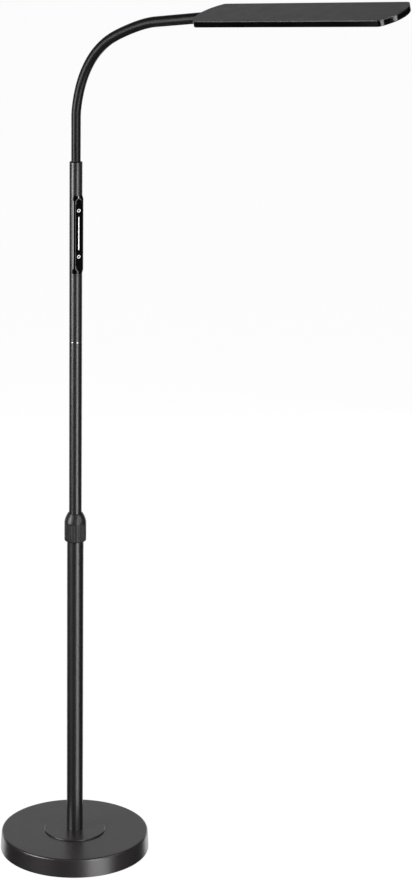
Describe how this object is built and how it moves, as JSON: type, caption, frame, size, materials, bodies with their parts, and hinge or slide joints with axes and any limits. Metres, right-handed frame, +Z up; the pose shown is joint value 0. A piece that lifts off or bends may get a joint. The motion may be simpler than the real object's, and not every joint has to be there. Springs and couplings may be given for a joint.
{
  "type": "gooseneck reading floor lamp",
  "caption": "Floor lamp with a round weighted base, telescopic pole with twist lock and touch strip, bending neck and flat light head.",
  "frame": {"origin": "centre of the foot pad's lower face, on the pole's axis", "axes": "+Z up along the pole, +X the way that the neck and head reach, +Y to the far side"},
  "size_m": [0.6745, 0.229, 1.3468],
  "materials": {
    "black_enamel": "satin powder coat",
    "gloss_black": "high gloss",
    "black_plastic": "fine satin moulding",
    "neck_sleeve": "satin black sleeve",
    "head_satin": "satin black",
    "iron": "as cast",
    "steel": "zinc plated",
    "brass": "turned",
    "foam": "closed-cell foam",
    "lead_black": "smooth sheath",
    "nylon": "natural nylon",
    "icon_white": "printed white",
    "light_bar": "translucent white",
    "opal": "opal sheet",
    "white_plastic": "satin white",
    "board_green": "solder mask",
    "board_white": "white solder mask",
    "led": "phosphor",
    "aluminium": "mill finish"
  },
  "bodies": {
    "base": {"base_cover": "black_enamel", "base_centre_disc": "black_enamel", "base_weight": "iron", "base_plate": "steel", "base_screws": "steel", "base_foot_pad": "foam", "pole_nipple": "steel", "nipple_washer": "steel", "nipple_nut": "steel", "power_inlet": "black_plastic", "inlet_contact_pin": "brass", "inlet_nut": "steel", "base_lead": "lead_black", "tube_foot_plug": "black_enamel", "lower_tube": "black_enamel", "collet_body": "black_plastic", "coiled_lead": "lead_black"},
    "compression_ring": {"compression_ring": "nylon"},
    "lock_nut": {"lock_nut": "black_plastic"},
    "guide_bush": {"guide_bush": "nylon"},
    "upper_pole": {"pole_foot_cap": "black_plastic", "bush_stop_ring": "steel", "upper_tube_lower": "black_enamel", "tube_coupler": "steel", "upper_tube_upper": "black_enamel", "control_housing": "gloss_black", "touch_panel": "gloss_black", "touch_icons": "icon_white", "light_bar": "light_bar", "control_board": "board_green", "pole_lead": "lead_black", "neck_lead": "lead_black", "neck_ferrule": "black_enamel", "neck_root": "neck_sleeve"},
    "neck_link_01": {"neck_link_01": "neck_sleeve"},
    "neck_link_02": {"neck_link_02": "neck_sleeve"},
    "neck_link_03": {"neck_link_03": "neck_sleeve"},
    "neck_link_04": {"neck_link_04": "neck_sleeve"},
    "neck_link_05": {"neck_link_05": "neck_sleeve"},
    "neck_link_06": {"neck_link_06": "neck_sleeve"},
    "neck_link_07": {"neck_link_07": "neck_sleeve"},
    "neck_link_08": {"neck_link_08": "neck_sleeve"},
    "neck_link_09": {"neck_link_09": "neck_sleeve"},
    "head": {"neck_tip": "neck_sleeve", "head_top_plate": "head_satin", "head_shell": "gloss_black", "head_screws": "steel", "diffuser": "opal", "reflector_frame": "white_plastic", "led_board": "board_white", "led_chips": "led", "heat_spreader": "aluminium", "neck_anchor": "steel", "tang_screws": "steel"}
  },
  "joints": [
    {"name": "nut_lift", "type": "slide", "parent": "base", "child": "compression_ring", "axis": [0, 0, 1], "range_m": [0, 0.00112]},
    {"name": "lock_nut_turn", "type": "hinge", "parent": "compression_ring", "child": "lock_nut", "pos_m": [0, 0, 0.52], "axis": [0, 0, 1], "range_deg": [0, 270]},
    {"name": "pole_height", "type": "slide", "parent": "base", "child": "guide_bush", "axis": [0, 0, 1], "range_m": [-0.16, 0.12], "deforming": ["coiled_lead"]},
    {"name": "pole_turn", "type": "hinge", "parent": "guide_bush", "child": "upper_pole", "pos_m": [0, 0, 0.342], "axis": [0, 0, 1], "range_deg": [-170, 170]},
    {"name": "neck_sway_1", "type": "hinge", "parent": "upper_pole", "child": "neck_link_01", "pos_m": [0, 0, 1.1278], "axis": [1, 0, 0], "range_deg": [-12, 12]},
    {"name": "neck_bend_1", "type": "hinge", "parent": "neck_link_01", "child": "neck_link_02", "pos_m": [0, 0, 1.1536], "axis": [0, 1, 0], "range_deg": [-13.54, 12]},
    {"name": "neck_bend_2", "type": "hinge", "parent": "neck_link_02", "child": "neck_link_03", "pos_m": [0.00913, 0, 1.19152], "axis": [0, 1, 0], "range_deg": [-13.54, 12]},
    {"name": "neck_sway_2", "type": "hinge", "parent": "neck_link_03", "child": "neck_link_04", "pos_m": [0.01696, 0, 1.20683], "axis": [0.8903, 0, -0.4553], "range_deg": [-12, 12]},
    {"name": "neck_bend_3", "type": "hinge", "parent": "neck_link_04", "child": "neck_link_05", "pos_m": [0.02479, 0, 1.22214], "axis": [0, 1, 0], "range_deg": [-13.54, 12]},
    {"name": "neck_bend_4", "type": "hinge", "parent": "neck_link_05", "child": "neck_link_06", "pos_m": [0.04407, 0, 1.24461], "axis": [0, 1, 0], "range_deg": [-13.54, 12]},
    {"name": "neck_bend_5", "type": "hinge", "parent": "neck_link_06", "child": "neck_link_07", "pos_m": [0.07042, 0, 1.26364], "axis": [0, 1, 0], "range_deg": [-13.54, 12]},
    {"name": "neck_sway_3", "type": "hinge", "parent": "neck_link_07", "child": "neck_link_08", "pos_m": [0.09678, 0, 1.27445], "axis": [0.3793, 0, -0.9253], "range_deg": [-12, 12]},
    {"name": "neck_bend_6", "type": "hinge", "parent": "neck_link_08", "child": "neck_link_09", "pos_m": [0.12639, 0, 1.28659], "axis": [0, 1, 0], "range_deg": [-13.54, 12]},
    {"name": "neck_sway_4", "type": "hinge", "parent": "neck_link_09", "child": "head", "pos_m": [0.16395, 0, 1.29237], "axis": [0.1521, 0, -0.9884], "range_deg": [-12, 12]}
  ],
  "couplings": [
    {"joint": "lock_nut_turn", "follows": "nut_lift", "rad_per_m": 4188.8},
    {"joint": "neck_bend_2", "follows": "neck_bend_1", "ratio": 1},
    {"joint": "neck_sway_2", "follows": "neck_sway_1", "ratio": 1},
    {"joint": "neck_bend_3", "follows": "neck_bend_1", "ratio": 1},
    {"joint": "neck_bend_4", "follows": "neck_bend_1", "ratio": 1},
    {"joint": "neck_bend_5", "follows": "neck_bend_1", "ratio": 1},
    {"joint": "neck_sway_3", "follows": "neck_sway_1", "ratio": 1},
    {"joint": "neck_bend_6", "follows": "neck_bend_1", "ratio": 1},
    {"joint": "neck_sway_4", "follows": "neck_sway_1", "ratio": 1}
  ]
}
